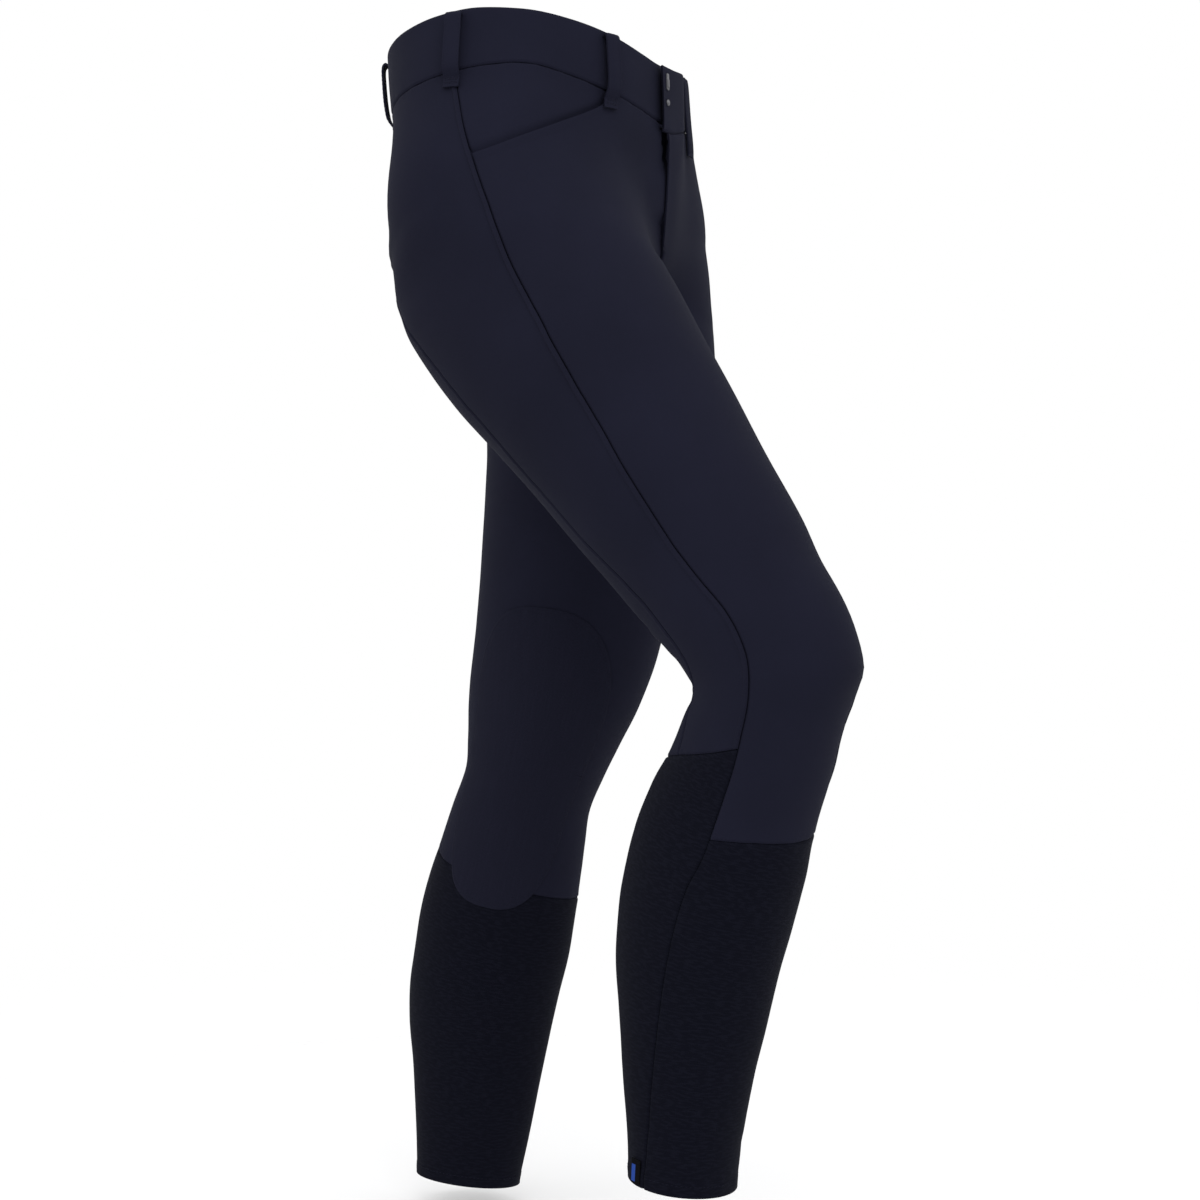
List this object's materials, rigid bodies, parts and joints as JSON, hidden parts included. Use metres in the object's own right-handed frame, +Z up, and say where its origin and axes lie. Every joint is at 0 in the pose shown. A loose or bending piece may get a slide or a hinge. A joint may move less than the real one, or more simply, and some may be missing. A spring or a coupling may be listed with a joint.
{
  "type": "riding breeches",
  "caption": "Fitted riding breeches in worn form: belted waistband, slanted pockets, leg panels, inner knee patches and snug knit calves.",
  "frame": {"origin": "the centre of the waist, where the wearer holds the garment up", "axes": "+Z up through the waist; the wearer faces -Y and the wearer's left is +X"},
  "size_m": [0.3557, 0.4586, 0.9373],
  "materials": {
    "main_cloth": "dark navy stretch twill, matt with a soft sheen",
    "calf_knit": "very dark navy fine stretch knit, matt",
    "hook_metal": "satin nickel",
    "label_tape": "black woven tape"
  },
  "bodies": {
    "root": {"waistband_right": "main_cloth", "front_right": "main_cloth", "back_right": "main_cloth", "pocket_facing_right": "main_cloth", "calf_right": "calf_knit", "knee_patch_right": "main_cloth", "belt_loop_front_right": "main_cloth", "belt_loop_side_right": "main_cloth", "belt_loop_back_right": "main_cloth", "waistband_left": "main_cloth", "front_left": "main_cloth", "back_left": "main_cloth", "pocket_facing_left": "main_cloth", "calf_left": "calf_knit", "knee_patch_left": "main_cloth", "belt_loop_front_left": "main_cloth", "belt_loop_side_left": "main_cloth", "belt_loop_back_left": "main_cloth", "hook_plate": "hook_metal", "stud_plate": "hook_metal", "hem_label": "label_tape"}
  },
  "joints": []
}
